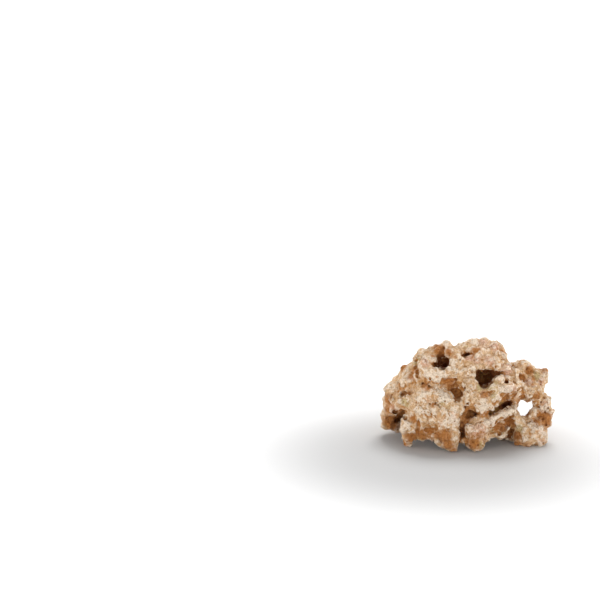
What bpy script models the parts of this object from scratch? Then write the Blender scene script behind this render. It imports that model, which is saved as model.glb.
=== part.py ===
"""Reef base rock: one dry, porous, knobbly piece of aragonite reef rock, 22 cm long, resting on its feet.

The rock is one natural piece, so it is one closed solid. It is built as the real one grew: rounded
lumps that run into each other, knobs all over them, then caves, slots and pits worn into it, and one
hole right through its thin right end. The lower ends of its feet are worn flat where it rests.
+X is to the right, +Y away from the viewer, +Z up. The origin is on the ground under the rock's middle.
"""

import math
import random

import bmesh
import bpy
import numpy as np
from mathutils import Matrix, Vector, noise
from mathutils.bvhtree import BVHTree

MM = 0.001

# Driving sizes, in metres
ROCK_LENGTH = 0.220
LUMP_VOXEL = 3.0 * MM
CARVE_VOXEL = 2.2 * MM
SKIN_VOXEL = 2.0 * MM
BROAD_WAVE = 24 * MM
BROAD_SHIFT = 3.5 * MM
FINE_WAVE = 8 * MM
FINE_SHIFT = 1.9 * MM
FOOT_WEAR = 1.0 * MM
FACE_BUDGET = 9700

# The rock is laid out as a viewer sees it. A place is given by how far it lies across (to the right)
# and up in the picture plane through the rock's middle and, for a lump, by how deep it is along +Y.
EYE = Vector((-0.216, -1.742, 0.540))
LOOK_DOWN = math.radians(11.5)
PICTURE_DISTANCE = 1.800
PICTURE_RIGHT = 0.2157
PICTURE_RISE = -0.1989
RIGHT = Vector((1.0, 0.0, 0.0))
FORWARD = Vector((0.0, math.cos(LOOK_DOWN), -math.sin(LOOK_DOWN)))
PICTURE_UP = Vector((0.0, math.sin(LOOK_DOWN), math.cos(LOOK_DOWN)))

# Lumps: across, up, deep, radius, in millimetres
CORE_LUMPS = [
    (-50, 72, 2, 38), (-14, 86, 8, 42), (26, 76, 4, 36), (48, 78, 8, 26), (-20, 96, 48, 32),
    (24, 92, 44, 32), (-50, 92, 40, 28), (24, 118, 22, 26), (-30, 108, 22, 20), (-8, 76, 44, 27),
    (30, 72, 40, 25), (-42, 74, 40, 24), (-4, 30, -20, 16), (0, 46, -24, 17),
]
TOP_LUMPS = [
    (-4, 130, 4, 14), (10, 134, 9, 15), (25, 136, 12, 15), (36, 132, 14, 13), (-25, 138, 0, 7),
    (-20, 130, -3, 9), (-32, 134, 4, 8), (44, 112, 8, 13), (38, 122, 12, 13), (32, 122, 0, 17),
    (16, 120, -6, 15), (-40, 128, 8, 9),
]
UPPER_LEFT_LUMPS = [
    (-62, 104, 5, 17), (-50, 119, 8, 14), (-38, 124, 12, 13), (-70, 92, -2, 15), (-56, 110, -12, 13),
    (-50, 114, -16, 11), (-73, 104, 4, 12),
]
LEFT_LUMPS = [
    (-88, 74, 5, 19), (-82, 88, 12, 15), (-76, 62, -8, 20), (-97, 48, 14, 13), (-90, 58, 4, 14),
    (-96, 64, 20, 14), (-90, 40, 20, 12), (-98, 36, 10, 8),
]
MAIN_BULGE_LUMPS = [
    (-36, 64, -40, 25), (-52, 74, -33, 22), (-20, 56, -44, 19), (-62, 62, -26, 19), (-28, 46, -46, 17),
    (-44, 52, -42, 18), (-12, 60, -44, 14), (-54, 58, -38, 16), (-9, 50, -47, 10), (-56, 40, -36, 16),
    (-46, 38, -40, 14), (-66, 42, -32, 15), (-56, 32, -34, 12), (-44, 31, -38, 11), (-64, 32, -34, 10),
    (-60, 27, -36, 9), (-50, 27, -38, 9),
]
CAVE_SILL_LUMPS = [
    (-52, 99, -26, 11), (-40, 98, -31, 10), (-27, 98, -32, 10), (-14, 101, -28, 11), (-12, 114, -22, 10),
    (-17, 128, -12, 8), (-50, 112, -18, 10), (-4, 108, -24, 11), (-2, 98, -28, 11),
]
FOOT_LUMPS = [
    (-75, 34, -36, 11), (-78, 22, -36, 8), (-75, 11, -34, 6), (-74, 44, -34, 12),
    (-21, 15, -56, 10), (-18, 6, -58, 7), (-23, 24, -55, 13), (-30, 36, -50, 15), (-16, 30, -52, 12),
    (-37, 28, -48, 10), (-12, 18, -52, 9), (-35, 20, -49, 8), (-28, 12, -54, 7),
    (14, 14, -56, 11), (9, 26, -53, 12), (20, 34, -48, 13), (8, 36, -48, 10), (16, 8, -56, 8),
    (24, 24, -50, 9), (34, 32, -42, 11), (42, 30, -36, 11), (34, 24, -40, 7),
    (84, 28, -22, 15), (92, 19, -28, 10), (77, 19, -29, 10), (96, 28, -18, 10), (68, 30, -20, 12),
    (57, 21, -8, 9), (50, 32, -6, 14), (60, 34, -8, 14), (84, 14, -31, 7), (71, 16, -28, 7), (98, 15, -26, 7),
    (-34, 58, 40, 17), (-38, 42, 42, 12), (28, 60, 46, 18), (30, 42, 50, 13),
]
BAR_LUMPS = [
    (18, 66, -50, 9), (26, 72, -49, 8), (36, 78, -46, 8), (46, 82, -44, 8), (55, 84, -40, 8),
    (63, 86, -36, 8), (20, 58, -51, 9), (30, 66, -49, 9), (12, 62, -50, 8), (40, 70, -45, 7),
    (24, 40, -52, 9), (33, 42, -53, 8), (42, 47, -52, 8), (51, 51, -49, 8), (57, 54, -44, 7),
    (62, 58, -38, 6),
]
RIGHT_LUMPS = [
    (62, 92, -20, 13), (62, 74, -24, 9), (60, 46, -26, 10), (70, 40, -20, 10), (68, 110, 4, 11),
    (78, 112, 0, 10), (86, 106, -3, 9), (97, 103, -3, 6), (103, 106, -3, 5), (104, 99, -4, 5),
    (84, 96, -6, 11), (95, 92, -6, 8), (72, 96, -8, 11), (90, 83, -8, 10), (96, 76, -8, 7),
    (104, 66, -9, 7), (105, 55, -10, 8), (103, 44, -12, 9), (76, 80, -12, 9), (96, 58, -10, 8),
    (92, 48, -12, 9), (92, 68, -9, 6), (74, 100, 14, 12), (54, 94, 22, 15), (58, 64, 12, 13),
    (90, 92, 6, 9), (60, 62, -22, 6), (84, 42, -14, 8),
]
LEDGE_CAVE_RIM_LUMPS = [
    (18, 114, -19, 12), (32, 113, -18, 12), (45, 109, -15, 11), (5, 100, -30, 12), (46, 96, -28, 8),
    (55, 98, -22, 7), (22, 82, -40, 9), (34, 84, -38, 10), (8, 86, -41, 10), (46, 88, -31, 9),
    (4, 76, -44, 9), (10, 72, -47, 8),
]
BACK_LUMPS = [
    (-70, 86, 48, 16), (-62, 104, 44, 15), (-30, 118, 56, 17), (0, 124, 52, 18), (30, 124, 48, 18),
    (45, 104, 42, 15), (62, 88, 34, 12), (-84, 74, 36, 15), (-12, 100, 76, 16), (16, 96, 78, 16),
    (42, 84, 68, 17), (-44, 94, 70, 16), (-60, 72, 62, 15), (-24, 74, 76, 16), (10, 74, 78, 15),
    (38, 66, 66, 15), (56, 68, 46, 14), (-6, 112, 72, 12), (72, 82, 30, 10), (-74, 58, 50, 12),
]

# Knobs that the viewer sees: across, up, radius, in millimetres. Each sits on the surface there.
SEEN_KNOBS = [
    (-53, 118, 9), (-57, 126, 7), (-51, 107, 8), (-26, 143, 6), (-35, 135, 5.5), (-40, 129, 5),
    (-20, 133, 5), (-47, 100, 7), (-36, 101, 6), (-26, 103, 6), (-17, 108, 6), (-14, 117, 6),
    (-12, 134, 5), (0, 139, 7), (10, 143, 7), (23, 143, 7), (34, 139, 7), (43, 140, 6), (46, 130, 6),
    (16, 124, 7), (27, 121, 7), (39, 118, 7), (51, 116, 6), (55, 108, 5), (6, 116, 6), (5, 105, 6),
    (-4, 107, 5), (-6, 96, 6), (1, 90, 5), (6, 83, 6), (1, 75, 5.5), (9, 74, 5), (4, 66, 4.5),
    (43, 96, 6), (55, 100, 4), (42, 81, 6), (51, 83, 6.5), (60, 84, 6), (23, 65, 6.5), (32, 69, 6),
    (40, 73, 5), (22, 56, 6), (18, 47, 5), (57, 53, 5), (49, 49, 5.5), (42, 46, 5.5), (32, 40, 6),
    (26, 39, 5), (6, 32, 6.5), (16, 34, 7), (23, 29, 6), (8, 23, 5), (21, 12, 5), (6, 12, 4),
    (72, 35, 6.5), (82, 34, 6.5), (92, 32, 6.5), (99, 25, 6), (75, 23, 7), (87, 20, 7), (98, 14, 5),
    (79, 12, 5), (70, 17, 5), (105, 62, 4.5), (108, 51, 5), (107, 38, 5), (98, 68, 4.5), (88, 53, 4.5),
    (96, 40, 5), (84, 46, 4.5), (100, 31, 4.5), (80, 48, 4), (69, 116, 6), (77, 117, 5), (82, 112, 4.5),
    (65, 107, 5), (77, 108, 5), (84, 99, 4.5), (94, 107, 4.5), (103, 107, 5), (105, 99, 4.5),
    (98, 94, 4.5), (88, 92, 4.5), (68, 88, 5), (78, 83, 5), (88, 84, 5), (94, 84, 4.5), (95, 75, 4.5),
    (80, 76, 5), (88, 75, 5), (-69, 65, 6), (-60, 69, 6), (-53, 77, 7), (-43, 78, 7), (-32, 74, 7),
    (-23, 66, 6.5), (-16, 58, 6), (-20, 48, 7), (-29, 55, 6), (-39, 55, 7), (-51, 56, 7),
    (-61, 57, 5.5), (-55, 44, 7), (-43, 42, 7), (-31, 38, 6.5), (-20, 36, 6.5), (-13, 43, 5),
    (-58, 34, 5.5), (-91, 90, 7), (-81, 94, 7), (-70, 94, 6), (-75, 104, 7), (-94, 82, 6.5),
    (-98, 69, 6), (-90, 65, 5.5), (-81, 66, 5.5), (-96, 56, 7), (-103, 46, 6), (-100, 36, 5),
    (-90, 34, 4.5), (-75, 36, 8), (-83, 30, 5.5), (-69, 27, 5.5), (-77, 20, 5),
    (-34, 25, 5.5), (-25, 22, 5.5), (-17, 21, 5.5), (-27, 12, 5),
]

# What is worn away where the viewer sees it: across, up, radius, depth below the surface, in millimetres
CAVE_UNDER_TOP_KNOB = [
    (-27, 117, 7.5, 34), (-29, 121, 6, 30), (-26, 112, 6.5, 32), (-22, 118, 5, 27), (-38, 114, 6, 16),
    (-42, 113, 5, 10), (-33, 110, 5, 18),
]
CAVE_UNDER_LEDGE = [
    (18, 101, 8, 34), (17, 94, 6.5, 32), (25, 98, 9, 30), (23, 88, 6.5, 22), (32, 103, 6.5, 22),
    (30, 92, 6.5, 18), (39, 103, 3.5, 14), (46, 103, 3, 9),
]
GROOVE_BETWEEN_FEET = [
    (0, 46, 7.5, 10), (5, 51, 6.5, 8), (9, 58, 4, 5), (-3, 39, 5.2, 11), (-6, 34, 3.5, 15),
    (-5, 27, 4.4, 20), (-4, 20, 4.4, 20), (-4, 14, 4, 20),
]
SLOT_BETWEEN_BARS = [
    (56, 64, 3.8, 22), (51, 62, 3.8, 18), (46, 60, 3.7, 15), (40, 57, 3.5, 13), (35, 53, 3.4, 12),
    (31, 49, 3, 9),
]
PITS = [
    (-6, 126, 3, 14), (-1, 127, 3.4, 17), (4, 129, 3, 12), (10, 132, 2.6, 5),
    (52, 91, 4, 15), (57, 96, 3, 6), (-14, 79, 6, 7), (-10, 73, 5.5, 8), (-16, 66, 3, 9), (-20, 83, 4, 5),
    (-56, 90, 3, 9), (-49, 90, 3.4, 7), (-30, 92, 3, 6), (-23, 94, 3, 7), (-17, 95, 3, 6),
    (-82, 51, 6, 26), (-86, 46, 6.8, 26), (-91, 43, 4.6, 16), (-72, 47, 3.6, 12),
    (51, 38, 5, 9), (58, 40, 5, 9), (48, 29, 6, 10), (57, 29, 6.5, 10), (40, 30, 4, 7), (57, 21, 4, 8),
    (72, 98, 4.6, 10), (78, 101, 3.4, 7), (86, 107, 4, 6), (94, 100, 4, 5),
    (84, 66, 3.4, 11), (94, 61, 3, 6), (96, 48, 3.6, 7), (91, 53, 3, 5), (104, 42, 3.2, 5),
    (-81, 77, 4.6, 5), (-72, 78, 4, 5), (-90, 74, 3.4, 4), (-29, 137, 3.4, 7), (-32, 138, 3, 5),
    (9, 16, 3, 6), (18, 18, 3, 6), (-44, 31, 3.2, 6), (-38, 30, 3, 6), (-51, 30, 3, 5),
    (-65, 118, 3.4, 8), (-65, 110, 3.4, 7), (-63, 103, 3, 6), (-60, 96, 3, 5),
    (22, 74, 2.8, 6), (29, 77, 2.8, 6), (35, 77, 2.8, 5), (31, 27, 3, 7), (36, 25, 3, 6),
    (29, 135, 2.8, 5), (22, 133, 2.8, 4), (-48, 65, 2.8, 5), (-35, 62, 3, 5),
]
# The hole right through: across, up, radius, in millimetres. The overlapping bores leave ragged corners.
THROUGH_HOLE = [(73, 60, 4.9), (78, 63, 3.4), (68, 57, 3.4), (72, 51, 3.4), (71, 68, 3.4), (81, 61, 2.2)]
THROUGH_HOLE_START = -60
THROUGH_HOLE_LENGTH = 150 * MM

# The larger caves of the back, the top and the ends: from there, to there, radius, in millimetres
UNSEEN_CAVES = [
    ((-32, 108, 66), (-12, 46, 56), 12), ((36, 104, 44), (22, 50, 46), 8), ((50, 98, 52), (34, 48, 50), 8),
    ((-118, 22, 62), (-72, 16, 56), 9), ((92, 62, 82), (44, 36, 64), 9), ((6, 62, 140), (0, 50, 96), 9),
    ((-62, 44, 130), (-42, 36, 92), 8), ((-80, 74, 40), (-48, 40, 44), 9), ((4, 118, 10), (0, 10, 16), 13),
    ((-64, 84, 88), (-44, 50, 76), 7), ((70, 60, 34), (40, 24, 34), 10), ((112, 10, 26), (74, 16, 34), 7),
]

# On the sides that the viewer doesn't see, the knobs and hollows are spread evenly and sized by chance.
# They are aimed at places scattered about the rock's middle, so that they reach into its folds.
UNSEEN_FACING = -0.3
MIDDLE = (0, 82, 12)
AIM_SCATTER = (60 * MM, 35 * MM, 25 * MM)
SPOT_WANDER = 0.2
KNOB_COUNT = 520
KNOB_RADII = (4.0 * MM, 8.0 * MM)
HOLLOW_COUNT = 170
HOLLOW_RADII = (3.6 * MM, 8.0 * MM)
HOLLOW_LOWEST = 14 * MM
HOLLOW_NEAREST = 14 * MM
HOLLOW_LENGTHS = (2, 3, 4)
HOLLOW_BEND = 0.3
HOLLOW_TAPER = 0.92

# How far the balls are stretched by chance, and how they sit, as shares of their radius
SIDE_STRETCH = (0.85, 1.2)
RISE_STRETCH = (0.75, 1.1)
SEEN_KNOB_SINK = 0.2
UNSEEN_KNOB_SINK = 0.25
BORE_STEP = 0.7
HOLLOW_STEP = 0.8

# What is left to chance starts from these numbers
LUMP_SEED = 11
KNOB_SEED = 23
CAVE_SEED = 5
HOLLOW_SEED = 37
BROAD_SEED = 3
FINE_SEED = 7


def clear_scene():
    for old in list(bpy.data.objects):
        bpy.data.objects.remove(old, do_unlink=True)


def line_of_sight(across, up):
    """The way from the eye through that point of the picture plane."""
    return (PICTURE_DISTANCE * FORWARD + (PICTURE_RIGHT + across * MM) * RIGHT
            + (PICTURE_RISE + up * MM) * PICTURE_UP).normalized()


def seen_place(across, up, deep):
    """The place that lies on that line of sight, deep millimetres along +Y."""
    way = line_of_sight(across, up)
    return EYE + way * (deep * MM - EYE.y) / way.y


def surface_of(obj):
    bm = bmesh.new()
    bm.from_mesh(obj.data)
    tree = BVHTree.FromBMesh(bm)
    bm.free()
    return tree


def first_seen(tree, across, up):
    """Where that line of sight meets the rock or, past its edge, the rock's nearest place."""
    place = tree.ray_cast(EYE, line_of_sight(across, up))[0]
    return place or tree.find_nearest(seen_place(across, up, 0))[0]


def ball(place, radius, chance):
    """A ball stretched and turned a little by chance."""
    angle = chance.uniform(0, math.tau)
    axis = Vector((chance.gauss(0, 1), chance.gauss(0, 1), 1))
    wide, deep, tall = (chance.uniform(*stretch) for stretch in (SIDE_STRETCH, SIDE_STRETCH, RISE_STRETCH))
    shape = Matrix.Rotation(angle, 4, axis) @ Matrix.Diagonal((wide, deep, tall, 1))
    return Matrix.Translation(place) @ shape @ Matrix.Scale(radius, 4)


def bore(start, way, radius, depth, chance):
    """Overlapping balls from just outside the surface down to depth."""
    step = BORE_STEP * radius
    return [ball(start + way * (k - 0.5) * step, radius, chance) for k in range(int(depth / step) + 2)]


def skin_over(name, balls, voxel, rock=None):
    """One closed skin over all the balls and, where there is one, the rock so far."""
    bm = bmesh.new()
    bmesh.ops.create_icosphere(bm, subdivisions=3, radius=1.0)
    bm.verts.index_update()
    round_points = np.array([vert.co for vert in bm.verts])
    round_faces = np.array([[vert.index for vert in face.verts] for face in bm.faces])
    bm.free()
    points = []
    faces = []
    for k, shape in enumerate(balls):
        shape = np.array(shape)
        points.append(round_points @ shape[:3, :3].T + shape[:3, 3])
        faces.append(round_faces + k * len(round_points))
    mesh = bpy.data.meshes.new(name)
    mesh.from_pydata(np.concatenate(points), [], np.concatenate(faces))
    skin = bpy.data.objects.new(name, mesh)
    bpy.context.scene.collection.objects.link(skin)
    if rock:
        bm = bmesh.new()
        bm.from_mesh(rock.data)
        bm.from_mesh(skin.data)
        bm.to_mesh(rock.data)
        bm.free()
        bpy.data.objects.remove(skin, do_unlink=True)
        skin = rock
    return fuse(skin, voxel)


def apply_modifiers(obj):
    """Replaces the object's mesh by what its modifiers make of it."""
    graph = bpy.context.evaluated_depsgraph_get()
    shaped = bpy.data.meshes.new_from_object(obj.evaluated_get(graph))
    obj.modifiers.clear()
    obj.data = shaped
    return obj


def fuse(obj, voxel):
    """Runs overlapping balls together into one skin."""
    skin = obj.modifiers.new("fuse", "REMESH")
    skin.mode = "VOXEL"
    skin.voxel_size = voxel
    return apply_modifiers(obj)


def carve(obj, cutter):
    cutter.hide_render = True
    cutter.display_type = "WIRE"
    cut = obj.modifiers.new("carve", "BOOLEAN")
    cut.operation = "DIFFERENCE"
    cut.solver = "EXACT"
    cut.object = cutter
    apply_modifiers(obj)
    bpy.data.objects.remove(cutter, do_unlink=True)


def roughen(obj, wave, amount, seed):
    """Moves each point by smooth noise, so that no lump stays round."""
    noise.seed_set(seed)
    for point in obj.data.vertices:
        point.co += amount * noise.noise_vector(point.co / wave)


def unseen_spots(tree, count, chance):
    """Spots spread over the sides that the viewer doesn't see, each with the way out of the rock there."""
    middle = seen_place(*MIDDLE)
    spots = []
    for k in range(count):
        height = 1 - 2 * (k + 0.5) / count
        angle = k * math.pi * (3 - math.sqrt(5)) + chance.uniform(-SPOT_WANDER, SPOT_WANDER)
        flat = math.sqrt(1 - height * height)
        way = Vector((flat * math.cos(angle), flat * math.sin(angle), height))
        aim = middle + Vector(chance.uniform(-reach, reach) for reach in AIM_SCATTER)
        place, normal = tree.ray_cast(aim + way * ROCK_LENGTH, -way)[:2]
        if place and normal.y > UNSEEN_FACING:
            spots.append((place, normal))
    return spots


def run_lumps_together():
    chance = random.Random(LUMP_SEED)
    lumps = [
        ball(seen_place(across, up, deep), radius * MM, chance)
        for across, up, deep, radius in (
            CORE_LUMPS + TOP_LUMPS + UPPER_LEFT_LUMPS + LEFT_LUMPS + MAIN_BULGE_LUMPS + CAVE_SILL_LUMPS
            + FOOT_LUMPS + BAR_LUMPS + RIGHT_LUMPS + LEDGE_CAVE_RIM_LUMPS + BACK_LUMPS
        )
    ]
    return skin_over("base_rock", lumps, LUMP_VOXEL)


def add_knobs(rock):
    chance = random.Random(KNOB_SEED)
    tree = surface_of(rock)
    knobs = []
    for across, up, radius in SEEN_KNOBS:
        sink = SEEN_KNOB_SINK * radius * MM * line_of_sight(across, up)
        knobs.append(ball(first_seen(tree, across, up) + sink, radius * MM, chance))
    for place, normal in unseen_spots(tree, KNOB_COUNT, chance):
        radius = chance.uniform(*KNOB_RADII)
        knobs.append(ball(place - UNSEEN_KNOB_SINK * radius * normal, radius, chance))
    skin_over("knobs", knobs, CARVE_VOXEL, rock)


def seen_caves(tree):
    chance = random.Random(CAVE_SEED)
    balls = []
    for across, up, radius, depth in (
        CAVE_UNDER_TOP_KNOB + CAVE_UNDER_LEDGE + GROOVE_BETWEEN_FEET + SLOT_BETWEEN_BARS + PITS
    ):
        start = first_seen(tree, across, up)
        balls += bore(start, line_of_sight(across, up), radius * MM, (depth - radius) * MM, chance)
    for across, up, radius in THROUGH_HOLE:
        start = seen_place(across, up, THROUGH_HOLE_START)
        balls += bore(start, line_of_sight(across, up), radius * MM, THROUGH_HOLE_LENGTH, chance)
    return balls


def unseen_hollows(tree):
    """Caves, then hollows and pits that turn a little on their way in.

    No hollow starts low on a foot, or so near the viewer that it would let light into the caves seen.
    """
    chance = random.Random(HOLLOW_SEED)
    balls = []
    for start, end, radius in UNSEEN_CAVES:
        way = (Vector(end) - Vector(start)) * MM
        balls += bore(Vector(start) * MM, way.normalized(), radius * MM, way.length, chance)
    for place, normal in unseen_spots(tree, HOLLOW_COUNT, chance):
        if place.z < HOLLOW_LOWEST or place.y < HOLLOW_NEAREST:
            continue
        radius = HOLLOW_RADII[0] + (HOLLOW_RADII[1] - HOLLOW_RADII[0]) * chance.random() ** 2
        way = -normal
        for _ in range(chance.choice(HOLLOW_LENGTHS)):
            balls.append(ball(place, radius, chance))
            bend = Vector(chance.gauss(0, 1) for _ in range(3))
            way = (way + HOLLOW_BEND * bend).normalized()
            place = place + HOLLOW_STEP * radius * way
            radius *= HOLLOW_TAPER
    return balls


def wear_caves(rock):
    tree = surface_of(rock)
    carve(rock, skin_over("caves", seen_caves(tree) + unseen_hollows(tree), CARVE_VOXEL))


def keep_largest_body(obj):
    """Crumbs that the caves cut loose fall away, and so does any wall of a sealed bubble."""
    bm = bmesh.new()
    bm.from_mesh(obj.data)
    left = set(bm.verts)
    bodies = []
    while left:
        start = left.pop()
        body, todo = {start}, [start]
        while todo:
            for edge in todo.pop().link_edges:
                for vert in edge.verts:
                    if vert in left:
                        left.discard(vert)
                        body.add(vert)
                        todo.append(vert)
        bodies.append(body)
    bodies.sort(key=len)
    crumbs = [vert for body in bodies[:-1] for vert in body]
    bmesh.ops.delete(bm, geom=crumbs, context="VERTS")
    bm.to_mesh(obj.data)
    bm.free()


def thin_faces(obj):
    """Fewer, larger facets where the rock is smooth, and small ones where it is rough."""
    triangles = sum(len(face.vertices) - 2 for face in obj.data.polygons)
    thinner = obj.modifiers.new("thin", "DECIMATE")
    thinner.ratio = FACE_BUDGET / triangles
    apply_modifiers(obj)


def wear_feet_flat(obj):
    """Cuts off what reaches below the wear line and closes each foot with a flat face."""
    bm = bmesh.new()
    bm.from_mesh(obj.data)
    cut = bmesh.ops.bisect_plane(
        bm, geom=bm.verts[:] + bm.edges[:] + bm.faces[:], dist=1e-6,
        plane_co=(0, 0, FOOT_WEAR), plane_no=(0, 0, 1), clear_inner=True,
    )
    rim = [item for item in cut["geom_cut"] if isinstance(item, bmesh.types.BMEdge)]
    bmesh.ops.holes_fill(bm, edges=rim, sides=0)
    bmesh.ops.recalc_face_normals(bm, faces=bm.faces[:])
    bm.to_mesh(obj.data)
    bm.free()


def move_origin_under_middle(obj):
    points = [point.co for point in obj.data.vertices]
    low = Vector(min(p[axis] for p in points) for axis in range(3))
    high = Vector(max(p[axis] for p in points) for axis in range(3))
    shift = Vector(((low.x + high.x) / 2, (low.y + high.y) / 2, low.z))
    obj.data.transform(Matrix.Translation(-shift))
    print("moved, mm", [round(v / MM, 2) for v in shift], "size, mm", [round(v / MM, 1) for v in high - low])


def stone():
    material = bpy.data.materials.new("aragonite")
    material.use_nodes = True
    shader = material.node_tree.nodes["Principled BSDF"]
    shader.inputs["Base Color"].default_value = (0.63, 0.44, 0.27, 1)
    shader.inputs["Roughness"].default_value = 0.95
    shader.inputs["Metallic"].default_value = 0.0
    return material


def build():
    clear_scene()
    rock = run_lumps_together()
    roughen(rock, BROAD_WAVE, BROAD_SHIFT, BROAD_SEED)
    add_knobs(rock)
    wear_caves(rock)
    roughen(rock, FINE_WAVE, FINE_SHIFT, FINE_SEED)
    fuse(rock, SKIN_VOXEL)
    keep_largest_body(rock)
    thin_faces(rock)
    wear_feet_flat(rock)
    move_origin_under_middle(rock)
    rock.data.materials.clear()
    rock.data.materials.append(stone())
    rock.data.shade_flat()


build()
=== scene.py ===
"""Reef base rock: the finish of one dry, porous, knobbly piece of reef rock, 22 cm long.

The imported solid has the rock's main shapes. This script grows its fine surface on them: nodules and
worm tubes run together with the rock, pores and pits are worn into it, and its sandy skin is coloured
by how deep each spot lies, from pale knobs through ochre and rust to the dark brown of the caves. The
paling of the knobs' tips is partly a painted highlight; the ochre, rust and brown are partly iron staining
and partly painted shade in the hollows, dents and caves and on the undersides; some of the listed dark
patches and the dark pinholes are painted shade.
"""

import math
import random

import bmesh
import bpy
import numpy as np
from bpy.props import FloatProperty, FloatVectorProperty, IntProperty, PointerProperty
from mathutils import Matrix, Vector, noise
from mathutils.bvhtree import BVHTree
from mathutils.kdtree import KDTree


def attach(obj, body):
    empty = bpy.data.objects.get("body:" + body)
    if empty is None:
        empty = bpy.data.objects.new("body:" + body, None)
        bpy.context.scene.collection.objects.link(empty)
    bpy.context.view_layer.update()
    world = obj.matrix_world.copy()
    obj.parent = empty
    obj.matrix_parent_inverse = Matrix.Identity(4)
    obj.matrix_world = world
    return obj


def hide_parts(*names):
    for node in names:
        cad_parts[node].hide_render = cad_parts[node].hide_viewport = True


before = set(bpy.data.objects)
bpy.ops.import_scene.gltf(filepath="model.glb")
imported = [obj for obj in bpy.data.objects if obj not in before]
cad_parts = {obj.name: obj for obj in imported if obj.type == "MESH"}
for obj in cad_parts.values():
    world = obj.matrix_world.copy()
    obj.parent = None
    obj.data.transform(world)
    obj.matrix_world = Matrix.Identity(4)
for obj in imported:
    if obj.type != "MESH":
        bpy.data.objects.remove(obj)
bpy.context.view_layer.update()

bl_info = {
    "name": "Reef base rock",
    "version": (1, 0, 0),
    "blender": (4, 5, 0),
    "location": "View3D > Sidebar > Reef Rock",
    "description": "Grows the fine surface of a reef base rock on its packed solid",
    "category": "Object",
}

MM = 0.001
NODE = "base_rock"

# The picture is square, and a pixel's place in it is counted from its upper left corner
PICTURE_SIDE = 600
SENSOR = 36.0

# What is grown on the rock. Radii are in millimetres. Steps and sinks are shares of a ball's radius
BALL_STRETCH = 0.25
NODULE_CHANCE = 0.55
NODULE_SMALLNESS = 2.4
NODULE_SINK = 0.4
NODULE_STRETCH = 0.4
TUBE_RADII = (0.9, 1.5)
TUBE_COUNTS = (5, 12)
TUBE_STEP = 0.9
TUBE_WINDING = 0.35
TUBE_STRETCH = 0.1
KNOB_SINK = 0.25

# What is worn into it, in the same measures. A dive is how far a step goes inwards; the waver is in pixels
PORE_CHANCE = 0.5
PORE_SMALLNESS = 3
PORE_COUNTS = (1, 3)
PORE_DIVE = 0.6
PORE_STRETCH = 0.4
WORM_RADII = (0.9, 1.7)
WORM_COUNTS = (3, 7)
WORM_STEP = 0.8
WORM_WINDING = 0.5
WORM_DIVE = 0.15
PIT_STEP = 0.7
PIT_STRETCH = 0.35
CREASE_WAVER = 0.4
CREASE_SWELL = (0.7, 1.15)
CREASE_STRETCH = 0.4

# How its skin is made
MERGE_DISTANCE = 1e-6
BALL_ROUNDNESS = 2
ROUNDING = 2
PLAIN_ROUNDING = 1
NODULE_SKIN = 1.2
LUMP_OCTAVES = 3
LUMP_FADE = 0.7
LUMP_MIDDLE = 0.5
MEND_TURNS = 12

# Added to the seed, so that each of these has its own chances
LUMP_SEED = 10
PORE_SEED = 20

# How its finish finds the deep places, and how many patches the unseen sides have for each seen one
SHELTER_WAYS = 64
NOOK_WAYS = 24
SHELTER_START = 0.02
LEAST_SLOPE = 0.1
LEAST_SEEN = 1e-9
DENT_STEPS = 12
NEIGHBOURS = 4
UNSEEN_PATCHES = 2
UNSEEN_RADII = (3, 7)
UNSEEN_STRENGTHS = (0.5, 1)

# The finish's noises: the width of their patches in millimetres, and their detail, roughness and distortion
BROAD = (34, 3, 0.5, 0.0)
OTHER = (20, 3, 0.55, 0.4)
PATCH = (11, 4, 0.6, 0.0)
FLECK = (3.4, 4, 0.65, 0.0)
SPECK = (2.0, 2, 0.6, 0.0)
GRAIN = (0.8, 3, 0.7, 0.0)
PINHOLE_SPACING = 2.7

# How little the rock and the paper shine
STONE_SPECULAR = 0.25
PAPER_SPECULAR = 0.1
PAPER_ROUGHNESS = 0.9

# The sky's colour, and between which heights its strength changes, from 0 at the horizon to 1 overhead
WHITE = (1.0, 1.0, 1.0, 1.0)
LOW_SKY = (0.45, 0.25)
HIGH_SKY = (0.5, 0.95)

# Grown where the viewer sees it: picture column and row, and radius in millimetres
SEEN_KNOBS = [
    (500, 380, 5.6), (508, 379, 4.2), (434, 365, 4.6), (436, 369, 3.2), (427, 376, 3.6), (433, 378, 3.8),
    (440, 377, 3.4), (446, 375, 3.2), (433, 352, 3.2), (437, 347, 3.6), (440, 343, 3.8), (446, 345, 3.0),
    (451, 350, 3.2), (448, 355, 2.6), (472, 351, 2.0), (476, 350, 2.2), (480, 349, 2.0), (545, 373, 4.0),
    (497, 355, 6.0), (503, 356, 6.0), (497, 366, 5.0), (501, 363, 5.0), (542, 380, 3.2), (489, 407, 6.0),
    (495, 403, 4.4), (454, 395, 5.0), (459, 393, 5.2), (455, 385, 5.6), (461, 384, 5.2), (467, 415, 5.0),
    (472, 414, 4.8), (491, 413, 3.0), (496, 410, 3.0), (501, 407, 2.4), (516, 365, 3.4), (523, 363, 3.2),
    (529, 366, 3.0), (531, 375, 2.8), (538, 377, 3.6), (543, 376, 4.0), (535, 402, 4.6), (536, 407, 4.2),
    (534, 412, 5.0), (531, 416, 4.2), (408, 424, 4.6), (404, 429, 4.4), (411, 430, 4.2), (409, 441, 3.4),
    (443, 438, 4.2), (447, 446, 4.0), (475, 430, 4.8), (481, 434, 4.2), (487, 422, 3.6), (493, 419, 3.4),
    (524, 430, 3.8), (533, 432, 4.2), (540, 428, 3.6), (526, 440, 3.8), (538, 440, 3.4), (545, 405, 3.0),
    (424, 357, 3.0), (422, 366, 3.4), (404, 374, 3.2), (409, 380, 3.4), (387, 398, 3.2), (386, 410, 3.0),
    (390, 428, 3.2),
]

# Rock behind a pit, so that it stays blind: picture column and row, radius and depth in millimetres
SEEN_BACKS = [(401, 416, 9.0, 22.0)]

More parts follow.
